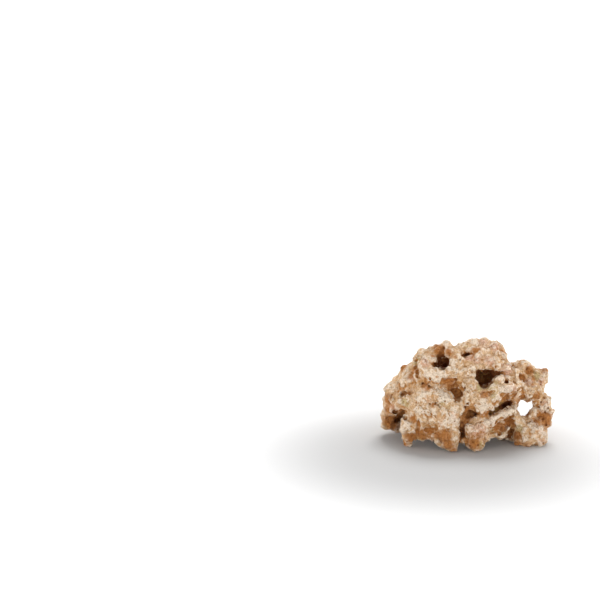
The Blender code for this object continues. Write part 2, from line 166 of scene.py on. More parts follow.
# Worn by the sea, where the viewer sees it: picture column and row, radius and depth in millimetres
SEEN_PITS = [
    (423, 384, 2.4, 5), (429, 386, 2.0, 3), (455, 402, 2.2, 4), (430, 404, 1.6, 2), (438, 405, 1.6, 2),
    (444, 348, 2.2, 3), (465, 355, 2.4, 7), (507, 383, 3.2, 6), (400, 414, 6.2, 13), (400, 418, 4.6, 12),
    (395, 412, 3.6, 10), (404, 413, 4.2, 9), (405, 418, 3.6, 8), (397, 420, 3.6, 8), (480, 371, 3.2, 8),
    (485, 371, 3.2, 8), (490, 370, 3.0, 6), (480, 375, 3.2, 9), (485, 377, 3.4, 9), (489, 375, 3.2, 8),
    (457, 399, 4.6, 5), (461, 395, 3.8, 3), (503, 427, 5.6, 3), (509, 424, 4.6, 3), (499, 433, 4.0, 3),
    (520, 377, 4.4, 4), (523, 381, 3.6, 3), (445, 366, 3.2, 4), (524, 415, 2.2, 24), (518, 407, 2.6, 24),
    (509, 403, 2.6, 5), (521, 379, 3.2, 4), (531, 371, 1.8, 3), (510, 443, 2.6, 4), (473, 442, 1.8, 3),
    (478, 445, 1.5, 3), (470, 446, 1.4, 3), (537, 414, 1.5, 3), (542, 420, 1.4, 3), (534, 421, 1.4, 3),
    (545, 412, 1.4, 3), (539, 407, 1.5, 3), (417, 358, 1.6, 2), (544, 398, 1.6, 2), (524, 396, 1.8, 2),
    (548, 408, 1.4, 2), (541, 402, 1.4, 2), (546, 425, 1.6, 2),
]

# Worn in a line where the viewer sees it: column and row of its start and its end, and radius in millimetres
SEEN_CREASES = [
    (480, 393, 495, 391, 1.8), (482, 397, 489, 399, 1.6), (488, 434, 500, 431, 1.7),
    (441, 383, 455, 379, 3.3), (416, 360, 418, 378, 3.6), (434, 388, 441, 394, 1.5),
    (402, 395, 413, 392, 3.4), (461, 356, 471, 354, 2.2), (494, 374, 512, 373, 3.8),
    (526, 371, 540, 381, 2.6), (497, 422, 512, 416, 3.8), (462, 428, 460, 442, 2.6),
    (432, 404, 440, 406, 1.5), (513, 398, 519, 388, 1.9), (488, 428, 497, 427, 1.6),
    (418, 403, 424, 409, 1.4), (447, 408, 450, 416, 1.5), (419, 421, 417, 432, 2.8),
    (426, 430, 438, 433, 2.6), (440, 434, 442, 448, 1.4), (448, 434, 449, 443, 1.4),
    (395, 425, 393, 431, 1.5), (524, 423, 530, 421, 1.6), (482, 357, 500, 355, 1.5),
    (486, 348, 492, 346, 1.4), (478, 371, 497, 372, 2.2), (513, 369, 515, 384, 2.6),
    (519, 373, 527, 381, 2.0), (528, 369, 536, 373, 1.8), (536, 388, 540, 396, 1.5),
    (470, 426, 483, 421, 1.5), (463, 381, 473, 391, 1.5), (465, 366, 472, 372, 1.4),
    (392, 395, 389, 405, 1.6), (428, 412, 437, 418, 1.3), (500, 386, 514, 383, 1.4),
    (519, 432, 522, 441, 1.6),
]

# Patches of colour where the viewer sees them: column and row, radius in millimetres, and strength
# These patches are mostly iron staining; some are painted shade: the shaded left lump, the deep hole by the
# left foot, and a cast shadow painted on the upper left.
SEEN_STAINS_AND_SHADE = [
    (399, 414, 5, 1.0), (403, 366, 6, 0.7), (417, 370, 5, 0.8), (424, 385, 4, 1.0), (429, 388, 4, 0.8),
    (449, 381, 6, 0.8), (442, 350, 5, 0.7), (436, 346, 5, 0.5), (434, 367, 4, 1.0), (476, 350, 4, 0.9),
    (457, 394, 8, 0.9), (386, 400, 6, 0.8), (388, 410, 6, 0.6), (391, 421, 9, 0.9), (408, 394, 5, 0.7),
    (404, 412, 6, 0.5), (413, 419, 4, 0.7), (419, 424, 4, 0.6), (412, 438, 6, 0.9), (420, 434, 6, 0.9),
    (431, 431, 5, 0.9), (445, 437, 7, 0.9), (449, 446, 6, 1.0), (438, 436, 6, 0.8), (434, 405, 3, 0.7),
    (467, 417, 8, 0.8), (461, 432, 6, 0.9), (474, 444, 6, 0.9), (480, 436, 4, 0.4), (500, 426, 7, 0.9),
    (508, 420, 5, 1.0), (510, 432, 5, 0.7), (521, 378, 5, 1.0), (530, 371, 5, 1.0), (534, 378, 4, 0.8),
    (523, 396, 4, 0.8), (537, 396, 5, 0.9), (545, 418, 8, 0.8), (537, 422, 5, 0.7), (542, 382, 3, 0.6),
    (527, 446, 5, 0.6), (485, 394, 5, 0.6), (497, 411, 5, 0.7), (482, 380, 9, 0.6), (466, 410, 4, 0.5),
    (528, 402, 4, 0.6), (515, 395, 4, 0.4), (517, 444, 5, 0.8), (455, 357, 3, 0.4), (398, 438, 4, 0.5),
    (533, 384, 4, 0.5), (438, 350, 5, 0.8), (448, 352, 5, 0.7), (433, 356, 4, 0.6), (411, 376, 5, 0.5),
    (406, 436, 5, 0.6), (494, 412, 4, 0.7), (471, 437, 5, 0.5), (484, 441, 4, 0.5), (422, 437, 6, 0.7),
    (454, 450, 5, 0.7), (540, 415, 4, 0.6),
]
SEEN_MOSSES = [
    (404, 403, 5, 0.8), (417, 362, 4, 0.8), (535, 377, 4, 1.0), (448, 408, 5, 0.5), (442, 403, 4, 0.6),
    (520, 431, 5, 0.7), (501, 403, 4, 1.0), (495, 409, 4, 0.8), (490, 413, 4, 0.6), (482, 445, 5, 0.7),
    (408, 368, 4, 0.4), (494, 429, 4, 0.7), (490, 386, 6, 0.7), (480, 388, 5, 0.6), (485, 374, 6, 0.6),
    (504, 366, 5, 0.4), (386, 427, 5, 0.5), (523, 388, 5, 0.4), (466, 346, 4, 0.4), (503, 435, 4, 0.7),
    (420, 440, 5, 0.6), (493, 396, 4, 0.5),
]
SEEN_BLUSHES = [
    (425, 362, 6, 0.5), (437, 343, 4, 0.7), (483, 342, 6, 0.6), (496, 346, 7, 0.6), (470, 357, 5, 0.8),
    (478, 360, 6, 0.6), (490, 360, 7, 0.6), (507, 369, 7, 0.9), (428, 388, 3, 0.8), (455, 417, 5, 0.7),
    (511, 391, 6, 0.9), (479, 430, 8, 0.7), (541, 381, 4, 0.9), (530, 382, 4, 0.7), (545, 403, 4, 0.5),
    (500, 398, 4, 0.6), (503, 414, 5, 0.4), (428, 402, 6, 0.4), (397, 428, 5, 0.6), (392, 408, 5, 0.6),
    (541, 443, 5, 0.6), (413, 376, 4, 0.5), (499, 379, 4, 0.5), (492, 424, 4, 0.4), (440, 424, 5, 0.4),
]
SEEN_CHALKS = [
    (436, 376, 7, 0.9), (427, 374, 5, 0.8), (407, 376, 4, 0.8), (446, 396, 6, 1.0), (439, 392, 6, 0.8),
    (452, 421, 7, 0.8), (445, 416, 6, 0.6), (421, 396, 6, 0.6), (487, 422, 5, 0.9), (405, 424, 5, 0.8),
    (483, 408, 6, 0.7), (521, 394, 4, 0.5), (533, 426, 6, 0.7), (462, 344, 5, 0.5), (475, 344, 6, 0.6),
    (546, 372, 4, 0.7), (495, 417, 5, 0.6), (430, 358, 5, 0.4), (424, 412, 8, 0.4), (457, 372, 5, 0.5),
    (541, 409, 4, 0.5), (548, 415, 4, 0.5), (536, 417, 3, 0.5), (489, 352, 6, 0.4), (452, 367, 5, 0.5),
    (503, 390, 5, 0.4), (540, 432, 5, 0.5), (409, 365, 4, 0.5), (503, 414, 4, 0.7), (509, 411, 4, 0.6),
    (491, 421, 4, 0.9), (497, 397, 4, 0.5), (507, 393, 4, 0.5),
]
SEEN_PATCHES = {"stain_and_shade": SEEN_STAINS_AND_SHADE, "moss": SEEN_MOSSES, "blush": SEEN_BLUSHES, "chalk_and_highlight": SEEN_CHALKS}


# The rock's shape

def apply_modifiers(obj):
    """Replaces the object's mesh by what its modifiers make of it."""
    graph = bpy.context.evaluated_depsgraph_get()
    shaped = bpy.data.meshes.new_from_object(obj.evaluated_get(graph))
    old = obj.data
    obj.modifiers.clear()
    obj.data = shaped
    bpy.data.meshes.remove(old)


def new_piece(name, data):
    """An object in the scene that carries that mesh, light or camera."""
    piece = bpy.data.objects.new(name, data)
    bpy.context.scene.collection.objects.link(piece)
    return piece


def rounded_copy(levels):
    """A copy of the solid with its loose triangles joined and its facets rounded off."""
    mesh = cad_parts[NODE].data.copy()
    bm = bmesh.new()
    bm.from_mesh(mesh)
    bmesh.ops.remove_doubles(bm, verts=bm.verts, dist=MERGE_DISTANCE)
    bm.to_mesh(mesh)
    bm.free()
    mesh.materials.clear()
    rock = new_piece("rock", mesh)
    rounder = rock.modifiers.new("round off", "SUBSURF")
    rounder.levels = rounder.render_levels = levels
    apply_modifiers(rock)
    return rock


def fuse(obj, voxel):
    """Runs overlapping forms together into one skin."""
    skin = obj.modifiers.new("fuse", "REMESH")
    skin.mode = "VOXEL"
    skin.voxel_size = voxel
    apply_modifiers(obj)


def ball(place, radius, chance, stretch=BALL_STRETCH):
    """A ball stretched and turned a little by chance."""
    angle = chance.uniform(0, math.tau)
    axis = Vector((chance.gauss(0, 1), chance.gauss(0, 1), 1))
    sides = [chance.uniform(1 - stretch, 1 + stretch) for _ in range(3)]
    shape = Matrix.Rotation(angle, 4, axis) @ Matrix.Diagonal((*sides, 1))
    return Matrix.Translation(place) @ shape @ Matrix.Scale(radius, 4)


def ball_cloud(name, balls):
    """One mesh that holds every ball."""
    one = bpy.data.meshes.new(name)
    bm = bmesh.new()
    bmesh.ops.create_icosphere(bm, subdivisions=BALL_ROUNDNESS, radius=1.0)
    bm.to_mesh(one)
    bm.clear()
    for shape in balls:
        copy = one.copy()
        copy.transform(shape)
        bm.from_mesh(copy)
        bpy.data.meshes.remove(copy)
    bm.to_mesh(one)
    bm.free()
    return one


def add_balls(rock, balls, voxel):
    """Grows the balls on the rock, in one skin with it."""
    cloud = ball_cloud("nodules", balls)
    bm = bmesh.new()
    bm.from_mesh(rock.data)
    bm.from_mesh(cloud)
    bm.to_mesh(rock.data)
    bm.free()
    bpy.data.meshes.remove(cloud)
    fuse(rock, voxel)


def carve_balls(rock, balls, voxel):
    """Cuts the balls out of the rock."""
    cutter = new_piece("pores", ball_cloud("pores", balls))
    fuse(cutter, voxel)
    before = len(rock.data.vertices)
    cut = rock.modifiers.new("carve", "BOOLEAN")
    cut.operation = "DIFFERENCE"
    cut.solver = "MANIFOLD"
    cut.object = cutter
    apply_modifiers(rock)
    bpy.data.objects.remove(cutter, do_unlink=True)
    if len(rock.data.vertices) == before:
        raise RuntimeError("the pores weren't cut: the rock or the pores aren't closed")


def surface_of(obj):
    """What a line of sight is tested against."""
    bm = bmesh.new()
    bm.from_mesh(obj.data)
    tree = BVHTree.FromBMesh(bm)
    bm.free()
    return tree


def spots_on(mesh, count, seed):
    """Places spread by chance over the surface, as many per area everywhere, with the way out there."""
    faces = len(mesh.polygons)
    area = np.empty(faces)
    centre = np.empty(faces * 3)
    normal = np.empty(faces * 3)
    mesh.polygons.foreach_get("area", area)
    mesh.polygons.foreach_get("center", centre)
    mesh.polygons.foreach_get("normal", normal)
    chosen = np.random.default_rng(seed).choice(faces, count, replace=False, p=area / area.sum())
    centre = centre.reshape(-1, 3)
    normal = normal.reshape(-1, 3)
    return [(Vector(centre[k]), Vector(normal[k])) for k in chosen]


def sideways(normal, chance):
    """A way along the surface, by chance."""
    way = Vector(chance.gauss(0, 1) for _ in range(3))
    return (way - way.dot(normal) * normal).normalized()


def nodules(mesh, tree, shape, studio, seed):
    """Knobs of all sizes, thick in some places and thin in others, and worm tubes that wind between them."""
    chance = random.Random(seed)
    noise.seed_set(seed)
    balls = []
    for place, normal in spots_on(mesh, shape.nodule_count, seed):
        crowd = noise.noise(place / shape.crowd_wave)
        if chance.random() < NODULE_CHANCE + crowd:
            share = chance.random() ** NODULE_SMALLNESS
            radius = shape.nodule_small + (shape.nodule_large - shape.nodule_small) * share
            balls.append(ball(place - NODULE_SINK * radius * normal, radius, chance, NODULE_STRETCH))
    for place, normal in spots_on(mesh, shape.tube_count, seed + 1):
        way = sideways(normal, chance)
        radius = chance.uniform(*TUBE_RADII) * MM
        for _ in range(chance.randint(*TUBE_COUNTS)):
            balls.append(ball(place, radius, chance, TUBE_STRETCH))
            way = (way + TUBE_WINDING * sideways(normal, chance)).normalized()
            place = tree.find_nearest(place + TUBE_STEP * radius * way)[0]
    for column, row, radius in SEEN_KNOBS:
        place, way = first_seen(tree, studio, column, row)
        balls.append(ball(place + KNOB_SINK * radius * MM * way, radius * MM, chance))
    for column, row, radius, depth in SEEN_BACKS:
        place, way = first_seen(tree, studio, column, row)
        balls.append(ball(place + depth * MM * way, radius * MM, chance))
    return balls


def line_of_sight(studio, column, row):
    """The way from the eye through that pixel of the picture."""
    focal = studio.lens * PICTURE_SIDE / SENSOR
    right = Vector((1, 0, 0))
    forward = Vector((0, math.cos(studio.look_down), -math.sin(studio.look_down)))
    up = right.cross(forward)
    across = column - PICTURE_SIDE / 2
    rise = PICTURE_SIDE / 2 - row
    return (focal * forward + across * right + rise * up).normalized()


def first_seen(tree, studio, column, row):
    """Where that line of sight meets the rock, and its way.

    Past the rock's edge, the place is the rock's nearest one to where the line crosses the middle plane.
    """
    eye = Vector(studio.eye)
    way = line_of_sight(studio, column, row)
    place = tree.ray_cast(eye, way)[0] or tree.find_nearest(eye - way * eye.y / way.y)[0]
    return place, way


def pores(mesh, tree, shape, studio, seed):
    """Pores, winding worm holes, and the pits that the viewer sees."""
    chance = random.Random(seed)
    noise.seed_set(seed)
    balls = []
    for place, normal in spots_on(mesh, shape.pore_count, seed):
        crowd = noise.noise(place / shape.crowd_wave)
        if chance.random() < PORE_CHANCE + crowd:
            share = chance.random() ** PORE_SMALLNESS
            radius = shape.pore_small + (shape.pore_large - shape.pore_small) * share
            for _ in range(chance.randint(*PORE_COUNTS)):
                balls.append(ball(place, radius, chance, PORE_STRETCH))
                place = place + radius * (sideways(normal, chance) - PORE_DIVE * normal)
    for place, normal in spots_on(mesh, shape.worm_hole_count, seed + 1):
        way = sideways(normal, chance)
        radius = chance.uniform(*WORM_RADII) * MM
        for _ in range(chance.randint(*WORM_COUNTS)):
            balls.append(ball(place, radius, chance))
            way = (way + WORM_WINDING * sideways(normal, chance) - WORM_DIVE * normal).normalized()
            place = place + WORM_STEP * radius * way
    for column, row, radius, depth in SEEN_PITS:
        place, way = first_seen(tree, studio, column, row)
        for k in range(int(depth / radius / PIT_STEP) + 1):
            balls.append(ball(place + PIT_STEP * k * radius * MM * way, radius * MM, chance, PIT_STRETCH))
    for start_column, start_row, end_column, end_row, radius in SEEN_CREASES:
        steps = max(abs(end_column - start_column), abs(end_row - start_row))
        for k in range(steps + 1):
            share = k / steps
            waver = chance.uniform(-CREASE_WAVER, CREASE_WAVER)
            column = start_column + share * (end_column - start_column) + waver
            waver = chance.uniform(-CREASE_WAVER, CREASE_WAVER)
            row = start_row + share * (end_row - start_row) + waver
            place = first_seen(tree, studio, column, row)[0]
            balls.append(ball(place, radius * chance.uniform(*CREASE_SWELL) * MM, chance, CREASE_STRETCH))
    return balls


def roughen(mesh, shape, seed):
    """Swells the skin into small rounded lumps of several sizes, with sharp creases between them."""
    noise.seed_set(seed)
    count = len(mesh.vertices)
    place = np.empty(count * 3)
    mesh.vertices.foreach_get("co", place)
    place = place.reshape(-1, 3)
    shift = np.empty(count)
    for k, spot in enumerate(place):
        spot = Vector(spot) / shape.lump_wave
        swell = noise.turbulence(spot, LUMP_OCTAVES, True, amplitude_scale=LUMP_FADE, frequency_scale=2)
        shift[k] = shape.lump_height * (swell - LUMP_MIDDLE)
    normal = np.empty(count * 3)
    mesh.vertex_normals.foreach_get("vector", normal)
    place += shift[:, None] * normal.reshape(-1, 3)
    mesh.vertices.foreach_set("co", place.ravel())
    mesh.update()


def mend(mesh):
    """Clears what thinning leaves: faces folded flat or stray, and edges where the skin touches itself."""
    bm = bmesh.new()
    bm.from_mesh(mesh)
    for _ in range(MEND_TURNS):
        same = {}
        for face in bm.faces:
            same.setdefault(frozenset(face.verts), []).append(face)
        folded = {face for faces in same.values() if len(faces) > 1 for face in faces}
        for face in bm.faces:
            shared = [len(edge.link_faces) for edge in face.edges]
            if min(shared) < 2 and max(shared) != 2:
                folded.add(face)
        bmesh.ops.delete(bm, geom=list(folded), context="FACES")
        touching = [edge for edge in bm.edges if len(edge.link_faces) > 2]
        if not folded and not touching:
            break
        if not folded:
            bmesh.ops.collapse(bm, edges=touching)
    bmesh.ops.delete(bm, geom=[edge for edge in bm.edges if not edge.link_faces], context="EDGES")
    bmesh.ops.delete(bm, geom=[vert for vert in bm.verts if not vert.link_faces], context="VERTS")
    bmesh.ops.holes_fill(bm, edges=[edge for edge in bm.edges if edge.is_boundary], sides=0)
    bm.to_mesh(mesh)
    bm.free()


def keep_largest_body(mesh):
    """Crumbs that the pores cut loose fall away."""
    bm = bmesh.new()
    bm.from_mesh(mesh)
    left = set(bm.verts)
    bodies = []
    while left:
        start = left.pop()
        body, todo = [start], [start]
        while todo:
            for edge in todo.pop().link_edges:
                for vert in edge.verts:
                    if vert in left:
                        left.discard(vert)
                        body.append(vert)
                        todo.append(vert)
        bodies.append(body)
    bodies.sort(key=len)
    crumbs = [vert for body in bodies[:-1] for vert in body]
    bmesh.ops.delete(bm, geom=crumbs, context="VERTS")
    bm.to_mesh(mesh)
    bm.free()


def thin_faces(obj, triangles):
    """Leaves about that many triangles."""
    obj.modifiers.new("triangles", "TRIANGULATE")
    apply_modifiers(obj)
    thinner = obj.modifiers.new("thin", "DECIMATE")
    thinner.ratio = min(1.0, triangles / len(obj.data.polygons))
    apply_modifiers(obj)


def set_down(mesh):
    """Nothing of the rock reaches below the ground that its worn feet stand on."""
    for point in mesh.vertices:
        point.co.z = max(point.co.z, 0.0)


# How deep each spot lies

def even_ways(count):
    """Ways spread evenly over a ball, each a golden angle round from the last."""
    ways = []
    for k in range(count):
        height = 1 - 2 * (k + 0.5) / count
        flat = math.sqrt(1 - height * height)
        angle = k * math.pi * (3 - math.sqrt(5))
        ways.append(Vector((flat * math.cos(angle), flat * math.sin(angle), height)))
    return ways


def shelter(mesh, tree, reach, count):
    """For each point, the share of the ways out of the surface that rock closes within reach."""
    ways = even_ways(count)
    closed = np.zeros(len(mesh.vertices))
    for k, point in enumerate(mesh.vertices):
        normal = point.normal
        start = point.co + SHELTER_START * reach * normal
        seen = 0.0
        shut = 0.0
        for way in ways:
            share = way.dot(normal)
            if share > LEAST_SLOPE:
                seen += share
                if tree.ray_cast(start, way, reach)[0]:
                    shut += share
        closed[k] = shut / max(seen, LEAST_SEEN)
    return closed


def underside(mesh):
    """For each point, 1 where it faces straight down, and 0 where it faces straight up."""
    return np.array([0.5 - 0.5 * point.normal.z for point in mesh.vertices])


def carried_over(values, there, here):
    """Each point here takes the mean of the values at its nearest points there."""
    near = KDTree(len(there.vertices))
    for k, point in enumerate(there.vertices):
        near.insert(point.co, k)
    near.balance()
    taken = []
    for point in here.vertices:
        taken.append(np.mean([values[k] for _, k, _ in near.find_n(point.co, NEIGHBOURS)]))
    return np.array(taken)


def patches(mesh, tree, studio, seen, unseen_count, seed):
    """For each point, how near it lies to a patch's middle: the patch's strength there, and less farther out.

    The viewer's patches lie where they are seen, and those of the other sides where chance puts them.
    """
    chance = random.Random(seed)
    middles = []
    for column, row, radius, strength in seen:
        middles.append((first_seen(tree, studio, column, row)[0], radius * MM, strength))
    for place, normal in spots_on(mesh, unseen_count, seed):
        if normal.dot(Vector(studio.eye) - place) < 0:
            middles.append((place, chance.uniform(*UNSEEN_RADII) * MM, chance.uniform(*UNSEEN_STRENGTHS)))
    place = np.empty(len(mesh.vertices) * 3)
    mesh.vertices.foreach_get("co", place)
    place = place.reshape(-1, 3)
    nearness = np.zeros(len(place))
    for middle, radius, strength in middles:
        far = np.linalg.norm(place - np.array(middle), axis=1) / radius
        nearness = np.maximum(nearness, strength * np.exp(-0.5 * far ** 2))
    return nearness


def dents(mesh, steps):
    """How far each point lies below its neighbourhood's average, along the normal, in metres."""
    count = len(mesh.vertices)
    place = np.empty(count * 3)
    mesh.vertices.foreach_get("co", place)
    place = place.reshape(-1, 3)
    normal = np.empty(count * 3)
    mesh.vertex_normals.foreach_get("vector", normal)
    edge = np.empty(len(mesh.edges) * 2, np.int64)
    mesh.edges.foreach_get("vertices", edge)
    edge = edge.reshape(-1, 2)
    links = np.bincount(edge.ravel(), minlength=count).astype(float)
    smooth = place.copy()
    for _ in range(steps):
        total = np.zeros_like(smooth)
        for axis in range(3):
            total[:, axis] = np.bincount(edge[:, 0], smooth[edge[:, 1], axis], count)
            total[:, axis] += np.bincount(edge[:, 1], smooth[edge[:, 0], axis], count)
        smooth = 0.5 * smooth + 0.5 * total / np.maximum(links, 1)[:, None]
    return np.einsum("ij,ij->i", smooth - place, normal.reshape(-1, 3))


def keep_value(mesh, name, values):
    """Keeps a number for each point, for the finish to read."""
    attribute = mesh.attributes.new(name, "FLOAT", "POINT")
    attribute.data.foreach_set("value", values.astype(np.float32))


# The finish

class Value:
    """A socket that carries a number. An expression on it adds the Math nodes that work it out."""

    def __init__(self, nodes, socket):
        self.nodes = nodes
        self.socket = socket

    def worked_out(self, operation, first, second):
        sockets = {"Value": first, "Value_001": second}
        return self.nodes.value("ShaderNodeMath", {"operation": operation}, sockets, "Value")

    def __add__(self, other):
        return self.worked_out("ADD", self, other)

    def __radd__(self, other):
        return self.worked_out("ADD", other, self)

    def __sub__(self, other):
        return self.worked_out("SUBTRACT", self, other)

    def __rsub__(self, other):
        return self.worked_out("SUBTRACT", other, self)

    def __mul__(self, other):
        return self.worked_out("MULTIPLY", self, other)

    def __rmul__(self, other):
        return self.worked_out("MULTIPLY", other, self)

    def step(self, low, high):
        """0 below low, 1 above high, and smooth between them. With low above high, it falls."""
        if low > high:
            return 1 - self.step(high, low)
        sockets = {"Value": self, "From Min": low, "From Max": high}
        return self.nodes.value("ShaderNodeMapRange", {"interpolation_type": "SMOOTHSTEP"}, sockets, "Result")


class Nodes:
    """The nodes of one material, or of the sky."""

    def __init__(self, owner):
        owner.use_nodes = True
        self.tree = owner.node_tree

    def feed(self, node, sockets):
        """Gives that node's sockets their values or links."""
        for name, value in sockets.items():
            slot = next(s for s in node.inputs if name in (s.identifier, s.name) and s.enabled)
            if isinstance(value, Value):
                value = value.socket
            if isinstance(value, bpy.types.NodeSocket):
                self.tree.links.new(value, slot)
            else:
                slot.default_value = value

    def node(self, kind, settings, sockets, out):
        """A new node of that type, with its settings and then its sockets. Returns one of its outputs."""
        node = self.tree.nodes.new(kind)
        for name, value in settings.items():
            setattr(node, name, value)
        self.feed(node, sockets)
        return next(s for s in node.outputs if out in (s.identifier, s.name) and s.enabled)

    def value(self, kind, settings, sockets, out):
        """The same, where that output is a number."""
        return Value(self, self.node(kind, settings, sockets, out))

    def noise(self, place, width, detail, roughness, distortion):
        """Smooth noise from 0 to 1, whose patches are about width millimetres across."""
        return self.value("ShaderNodeTexNoise", {}, {
            "Vector": place, "Scale": 1 / (width * MM), "Detail": detail, "Roughness": roughness,
            "Distortion": distortion,
        }, "Fac")

    def dots(self, place, spacing):
        """The distance to the nearest of scattered dots, as a share of their spacing in millimetres."""
        return self.value("ShaderNodeTexVoronoi", {}, {
            "Vector": place, "Scale": 1 / (spacing * MM),
        }, "Distance")

    def mix(self, share, first, second, blend="MIX"):
        """Colour first where share is 0, and second where it is 1."""
        return self.node("ShaderNodeMix", {"data_type": "RGBA", "blend_type": blend}, {
            "Factor_Float": share, "A_Color": first, "B_Color": second,
        }, "Result_Color")

    def tint(self, share, first, second):
        """Colour first where share is 0, and first times second where it is 1."""
        return self.mix(share, first, second, "MULTIPLY")

    def kept(self, name):
        """What keep_value kept under that name."""
        return self.value("ShaderNodeAttribute", {"attribute_name": name}, {}, "Fac")


def colour(rgb):
    """The colour, opaque."""
    return (*rgb, 1.0)


def aragonite(look):
    """Dry, sandy reef rock: pale on its knobs, ochre and rust in its dents, dark brown deep inside. The
    paling of the knob tips is partly a painted highlight, and the ochre, rust and dark brown are partly iron
    staining and partly painted shade in the hollows, nooks, dents and caves and on the undersides.

    The noises run from 0 to 1, so that less 0.5 they tip a threshold either way.
    """
    material = bpy.data.materials.new("aragonite")
    stone = Nodes(material)
    place = stone.node("ShaderNodeTexCoord", {}, {}, "Object")
    hollow = stone.kept("hollow")
    nook = stone.kept("nook")
    dent = stone.kept("dent")
    broad, other, patch, fleck, speck, grain = (
        stone.noise(place, *kind) for kind in (BROAD, OTHER, PATCH, FLECK, SPECK, GRAIN))

    skin = stone.mix((fleck + 0.6 * (patch - 0.5)).step(0.34, 0.62), colour(look.sand), colour(look.cream))
    pink = stone.kept("blush") + 1.1 * (other - 0.5) + 0.5 * (patch - 0.5) + 0.4 * (fleck - 0.5)
    skin = stone.mix(0.75 * pink.step(0.1, 0.6), skin, colour(look.blush))
    green = (stone.kept("moss") + 1.1 * (0.5 - other) + 0.5 * (fleck - 0.5)).step(0.15, 0.6)
    skin = stone.mix(0.6 * green, skin, colour(look.moss))
    # Listed pale patches, and paler convex tips through the dent term: that paling is partly rubbed wear and
    # partly a painted highlight.
    white = (stone.kept("chalk_and_highlight") - 600 * dent + 0.8 * (fleck - 0.5) + 0.5 * (patch - 0.5)).step(0.1, 0.7)
    skin = stone.mix(0.8 * white, skin, colour(look.chalk_and_highlight))

    # Ochre and rust: partly iron staining, partly painted shade in the hollows, nooks and dents, and painted
    # shade and warm bounce light on the undersides.
    uneven = 0.8 * (patch - 0.5) + 0.5 * (fleck - 0.5) + 0.6 * (broad - 0.5)
    warm = 0.8 * hollow + 0.9 * stone.kept("under") + 0.45 * nook + 420 * dent + uneven
    skin = stone.mix(0.93 * warm.step(0.58, 1.10), skin, colour(look.ochre))
    skin = stone.mix(0.8 * (warm - 0.3 * green).step(1.10, 1.60), skin, colour(look.rust))
    # Dark brown: painted shade deep in the caves and holes, with dark staining.
    deep = (hollow + 0.3 * nook + 0.4 * (patch - 0.5)).step(0.62, 1.00)
    skin = stone.mix(deep, skin, colour(look.brown))
    # Listed patches: mostly iron staining, but painted shade on the shaded left lump and in the deep hole by
    # the left foot, and a cast shadow painted on the upper left.
    stain_and_shade = (stone.kept("stain_and_shade") + uneven).step(0.10, 0.65)
    skin = stone.mix(0.95 * stain_and_shade, skin, colour(look.stain_and_shade))
    skin = stone.mix(0.85 * (stone.kept("moss") * hollow).step(0.1, 0.5), skin, colour(look.olive))
    # Pinholes: dark dots of painted shade in the finest pores, which are only bumped, not cut.
    pin = stone.dots(place, PINHOLE_SPACING) + 0.5 * (speck - 0.5)
    pin = pin.step(0.32, 0.14) * (patch + 0.4 * (fleck - 0.5)).step(0.42, 0.54)
    skin = stone.mix(0.42 * pin, skin, colour(look.pin))
    skin = stone.tint(0.6 * speck.step(0.58, 0.38), skin, colour(look.dust))
    skin = stone.tint(0.5 * grain.step(0.65, 0.35), skin, colour(look.dust))

    height = grain + speck + fleck - 1.3 * pin
    bump = stone.node("ShaderNodeBump", {}, {
        "Strength": 1.0, "Distance": look.grain_height, "Height": height,
    }, "Normal")
    stone.feed(stone.tree.nodes["Principled BSDF"], {
        "Base Color": skin, "Normal": bump, "Roughness": 0.82 + 0.16 * grain,
        "Specular IOR Level": STONE_SPECULAR,
    })
    return material


def paper(studio):
    """Plain and matt, a little greyer near the rock than farther off: painted shade round the rock."""
    material = bpy.data.materials.new("floor")
    floor = Nodes(material)
    place = floor.node("ShaderNodeTexCoord", {}, {}, "Object")
    far = floor.value("ShaderNodeVectorMath", {"operation": "DISTANCE"}, {
        "Vector": place, "Vector_001": studio.floor_middle,
    }, "Value")
    share = far.step(studio.floor_near, studio.floor_far)
    shade = floor.mix(share, colour(studio.near_shade_colour), colour(studio.floor_colour))
    floor.feed(floor.tree.nodes["Principled BSDF"], {
        "Base Color": shade, "Roughness": PAPER_ROUGHNESS, "Specular IOR Level": PAPER_SPECULAR,
    })
    return material


# What a user would change

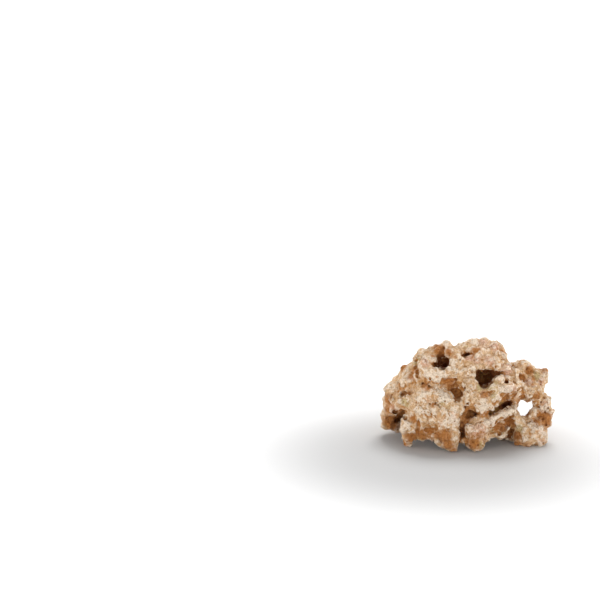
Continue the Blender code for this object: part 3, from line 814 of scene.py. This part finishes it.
class RockShape(bpy.types.PropertyGroup):
    skin: FloatProperty(
        name="Skin detail", description="The finest step of the skin that runs the nodules together",
        default=1.0 * MM, unit="LENGTH", precision=5)
    cut: FloatProperty(
        name="Pore detail", description="The finest step of the pores' walls",
        default=0.6 * MM, unit="LENGTH", precision=5)
    nodule_count: IntProperty(
        name="Nodules", description="How many places may carry a nodule", default=5200)
    nodule_small: FloatProperty(
        name="Smallest nodule", description="Its radius", default=1.1 * MM, unit="LENGTH", precision=5)
    nodule_large: FloatProperty(
        name="Largest nodule", description="Its radius", default=4.0 * MM, unit="LENGTH", precision=5)
    tube_count: IntProperty(name="Worm tubes", description="How many wind over the rock", default=130)
    pore_count: IntProperty(
        name="Pores", description="How many places may have a pore", default=2100)
    pore_small: FloatProperty(
        name="Smallest pore", description="Its radius", default=0.6 * MM, unit="LENGTH", precision=5)
    pore_large: FloatProperty(
        name="Largest pore", description="Its radius", default=1.9 * MM, unit="LENGTH", precision=5)
    worm_hole_count: IntProperty(
        name="Worm holes", description="How many wind along the surface", default=200)
    crowd_wave: FloatProperty(
        name="Crowding", description="How far apart the knobbly and the smooth patches lie",
        default=22 * MM, unit="LENGTH", precision=5)
    lump_wave: FloatProperty(
        name="Lump size", description="The size of the low lumps", default=9 * MM, unit="LENGTH", precision=5)
    lump_height: FloatProperty(
        name="Lump height", description="The height of the low lumps",
        default=3.9 * MM, unit="LENGTH", precision=5)
    triangles: IntProperty(name="Triangles", description="The most that the rock has", default=196000)
    reach: FloatProperty(
        name="Shelter reach", description="Rock this near to a spot shelters it",
        default=30 * MM, unit="LENGTH", precision=5)
    near_reach: FloatProperty(
        name="Near reach", description="Rock this near to a spot makes it a nook",
        default=7 * MM, unit="LENGTH", precision=5)
    seed: IntProperty(name="Seed", description="What is left to chance starts from this number", default=4)


class RockLook(bpy.types.PropertyGroup):
    cream: FloatVectorProperty(
        name="Cream", description="Most of the surface", default=(0.78, 0.58, 0.39), subtype="COLOR")
    sand: FloatVectorProperty(
        name="Sand", description="The darker flecks of the surface", default=(0.60, 0.36, 0.17),
        subtype="COLOR")
    # Pale rubbed tips, and a painted highlight on the convex tips
    chalk_and_highlight: FloatVectorProperty(
        name="Chalk", description="The rubbed tips", default=(0.88, 0.77, 0.64), subtype="COLOR")
    blush: FloatVectorProperty(
        name="Blush", description="The pinkish patches", default=(0.72, 0.45, 0.34), subtype="COLOR")
    moss: FloatVectorProperty(
        name="Moss", description="The yellow green patches", default=(0.52, 0.44, 0.20), subtype="COLOR")
    # Ochre: iron staining and painted shade in the dents, hollows and undersides
    ochre: FloatVectorProperty(
        name="Ochre", description="The dents", default=(0.50, 0.225, 0.065), subtype="COLOR")
    # Rust: iron staining and painted shade in the hollows and undersides
    rust: FloatVectorProperty(
        name="Rust", description="The stained hollows", default=(0.26, 0.10, 0.028), subtype="COLOR")
    # Iron staining, and painted shade and a painted cast shadow in some listed patches
    stain_and_shade: FloatVectorProperty(
        name="Stain", description="The patches of iron stain", default=(0.45, 0.18, 0.045), subtype="COLOR")
    # Painted shade deep in the caves, with dark staining
    brown: FloatVectorProperty(
        name="Brown", description="The deep caves", default=(0.24, 0.070, 0.016), subtype="COLOR")
    olive: FloatVectorProperty(
        name="Olive", description="The yellow brown patches in the caves", default=(0.58, 0.33, 0.10),
        subtype="COLOR")
    # Painted shade in the pinholes
    pin: FloatVectorProperty(
        name="Pinholes", description="The finest pores", default=(0.15, 0.075, 0.035), subtype="COLOR")
    dust: FloatVectorProperty(
        name="Dust", description="What the darker grains are multiplied by", default=(0.62, 0.55, 0.48),
        subtype="COLOR")
    grain_height: FloatProperty(
        name="Grain height", description="The height of the finest grain",
        default=0.7 * MM, unit="LENGTH", precision=5)


class Studio(bpy.types.PropertyGroup):
    eye: FloatVectorProperty(
        name="Eye", description="Where the camera stands", default=(-0.21764, -1.75748, 0.5390),
        subtype="TRANSLATION", precision=5)
    look_down: FloatProperty(
        name="Look down", description="How far below the horizon the camera looks",
        default=math.radians(11.5), subtype="ANGLE")
    lens: FloatProperty(
        name="Lens", description="The camera's focal length in millimetres", default=83.1)
    floor_size: FloatProperty(
        name="Floor", description="The length of the floor's sides", default=120.0, unit="LENGTH")
    floor_colour: FloatVectorProperty(
        name="Floor colour", description="Plain and pale", default=(0.94, 0.94, 0.94), subtype="COLOR")
    # The grey round the rock, set by this and the next three settings, is painted shade on the floor.
    near_shade_colour: FloatVectorProperty(
        name="Near floor colour", description="The floor round the rock", default=(0.50, 0.50, 0.50),
        subtype="COLOR")
    floor_middle: FloatVectorProperty(
        name="Floor middle", description="Where the floor is greyest", default=(-0.05, -0.09, 0),
        subtype="TRANSLATION")
    floor_near: FloatProperty(
        name="Near floor", description="How far from there the floor begins to pale",
        default=0.08, unit="LENGTH")
    floor_far: FloatProperty(
        name="Far floor", description="How far from there the floor is palest",
        default=0.34, unit="LENGTH")
    sky: FloatProperty(name="Sky", description="The strength of the even light", default=0.26)
    horizon: FloatProperty(name="Horizon", description="The sky's strength low down", default=3.3)
    zenith: FloatProperty(name="Zenith", description="How much brighter the sky is overhead", default=0.25)
    key: FloatProperty(name="Key light", description="Its strength", default=2.3)
    key_width: FloatProperty(
        name="Key width", description="How wide the light looks from the rock", default=math.radians(32),
        subtype="ANGLE")
    key_tilt: FloatProperty(
        name="Key tilt", description="How far from straight above it stands", default=math.radians(30),
        subtype="ANGLE")
    key_turn: FloatProperty(
        name="Key turn", description="How far it stands round from straight behind",
        default=math.radians(-16), subtype="ANGLE")


def grown_rock(shape, studio):
    """The solid rounded, grown over, worn and thinned, in that order."""
    rock = rounded_copy(ROUNDING)
    tree = surface_of(rock)
    add_balls(rock, nodules(rock.data, tree, shape, studio, shape.seed), NODULE_SKIN * shape.skin)
    roughen(rock.data, shape, shape.seed + LUMP_SEED)
    fuse(rock, shape.skin)
    tree = surface_of(rock)
    carve_balls(rock, pores(rock.data, tree, shape, studio, shape.seed + PORE_SEED), shape.cut)
    thin_faces(rock, shape.triangles)
    mend(rock.data)
    keep_largest_body(rock.data)
    set_down(rock.data)
    rock.data.shade_smooth()
    return rock


def keep_depths(mesh, tree, shape):
    """Keeps how deep each point lies: in the large hollows and underneath, and in small dents and nooks."""
    plain = rounded_copy(PLAIN_ROUNDING)
    # The finish paints shade in the hollows and nooks by these, with iron staining, and shade and warm bounce
    # light on the undersides.
    hollow = shelter(plain.data, surface_of(plain), shape.reach, SHELTER_WAYS)
    keep_value(mesh, "hollow", carried_over(hollow, plain.data, mesh))
    keep_value(mesh, "under", carried_over(underside(plain.data), plain.data, mesh))
    bpy.data.objects.remove(plain, do_unlink=True)
    keep_value(mesh, "dent", dents(mesh, DENT_STEPS))
    keep_value(mesh, "nook", shelter(mesh, tree, shape.near_reach, NOOK_WAYS))


def keep_patches(mesh, tree, shape, studio):
    """Keeps how near each point lies to the middles of the patches of each colour."""
    for step, (name, seen) in enumerate(SEEN_PATCHES.items()):
        unseen = UNSEEN_PATCHES * len(seen)
        keep_value(mesh, name, patches(mesh, tree, studio, seen, unseen, shape.seed + step))


def rock_piece(shape, look, studio):
    """The rock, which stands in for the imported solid."""
    rock = grown_rock(shape, studio)
    rock.name = "reef_rock"
    rock.data.name = "reef_rock"
    tree = surface_of(rock)
    keep_depths(rock.data, tree, shape)
    keep_patches(rock.data, tree, shape, studio)
    rock.data.materials.clear()
    rock.data.materials.append(aragonite(look))
    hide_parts(NODE)
    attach(rock, "root")


def sun_light(studio):
    """One broad soft light from above and behind, so that the shadow falls towards the viewer."""
    light = bpy.data.lights.new("key", "SUN")
    light.energy = studio.key
    light.angle = studio.key_width
    lamp = new_piece("key", light)
    lamp.rotation_euler = (-studio.key_tilt, 0, studio.key_turn)


def sky_light(studio):
    """Bright low down, dimmer above it, and a little brighter again overhead."""
    world = bpy.data.worlds.new("studio")
    bpy.context.scene.world = world
    sky = Nodes(world)
    place = sky.node("ShaderNodeTexCoord", {}, {}, "Generated")
    height = sky.value("ShaderNodeSeparateXYZ", {}, {"Vector": place}, "Z")
    low = (studio.horizon - studio.sky) * height.step(*LOW_SKY)
    strength = studio.sky + low + studio.zenith * height.step(*HIGH_SKY)
    sky.feed(sky.tree.nodes["Background"], {"Color": WHITE, "Strength": strength})


def floor_piece(studio):
    """The sheet that the rock stands on."""
    mesh = bpy.data.meshes.new("floor")
    bm = bmesh.new()
    bmesh.ops.create_grid(bm, x_segments=1, y_segments=1, size=studio.floor_size / 2)
    bm.to_mesh(mesh)
    bm.free()
    mesh.materials.append(paper(studio))
    floor = new_piece("floor", mesh)


def camera_piece(studio):
    """The camera, level from side to side, where the photographer stood."""
    camera = bpy.data.cameras.new("camera")
    camera.lens = studio.lens
    camera.sensor_width = SENSOR
    eye = new_piece("camera", camera)
    eye.location = studio.eye
    eye.rotation_euler = (math.pi / 2 - studio.look_down, 0, 0)
    bpy.context.scene.camera = eye


class REEF_ROCK_OT_rock(bpy.types.Operator):
    """Grows the rock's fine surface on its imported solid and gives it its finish"""

    bl_idname = "reef_rock.rock"
    bl_label = "Grow the rock"

    def execute(self, context):
        scene = context.scene
        rock_piece(scene.rock_shape, scene.rock_look, scene.rock_studio)
        return {"FINISHED"}


class REEF_ROCK_OT_studio(bpy.types.Operator):
    """Sets the floor, the light and the camera"""

    bl_idname = "reef_rock.studio"
    bl_label = "Set the studio"

    def execute(self, context):
        studio = context.scene.rock_studio
        floor_piece(studio)
        sun_light(studio)
        sky_light(studio)
        camera_piece(studio)
        context.scene.view_settings.view_transform = "Standard"
        return {"FINISHED"}


class REEF_ROCK_PT_panel(bpy.types.Panel):
    bl_idname = "REEF_ROCK_PT_panel"
    bl_label = "Reef base rock"
    bl_space_type = "VIEW_3D"
    bl_region_type = "UI"
    bl_category = "Reef Rock"

    def draw(self, context):
        for group, action in (
            (context.scene.rock_shape, REEF_ROCK_OT_rock),
            (context.scene.rock_look, None),
            (context.scene.rock_studio, REEF_ROCK_OT_studio),
        ):
            box = self.layout.box()
            for name in group.bl_rna.properties.keys():
                if name not in ("rna_type", "name"):
                    box.prop(group, name)
            if action:
                box.operator(action.bl_idname)


CLASSES = (RockShape, RockLook, Studio, REEF_ROCK_OT_rock, REEF_ROCK_OT_studio, REEF_ROCK_PT_panel)


def register():
    for item in CLASSES:
        bpy.utils.register_class(item)
    bpy.types.Scene.rock_shape = PointerProperty(type=RockShape)
    bpy.types.Scene.rock_look = PointerProperty(type=RockLook)
    bpy.types.Scene.rock_studio = PointerProperty(type=Studio)


def unregister():
    del bpy.types.Scene.rock_studio
    del bpy.types.Scene.rock_look
    del bpy.types.Scene.rock_shape
    for item in reversed(CLASSES):
        bpy.utils.unregister_class(item)


def main():
    register()
    bpy.ops.reef_rock.studio()
    bpy.ops.reef_rock.rock()


if __name__ == "__main__":
    main()
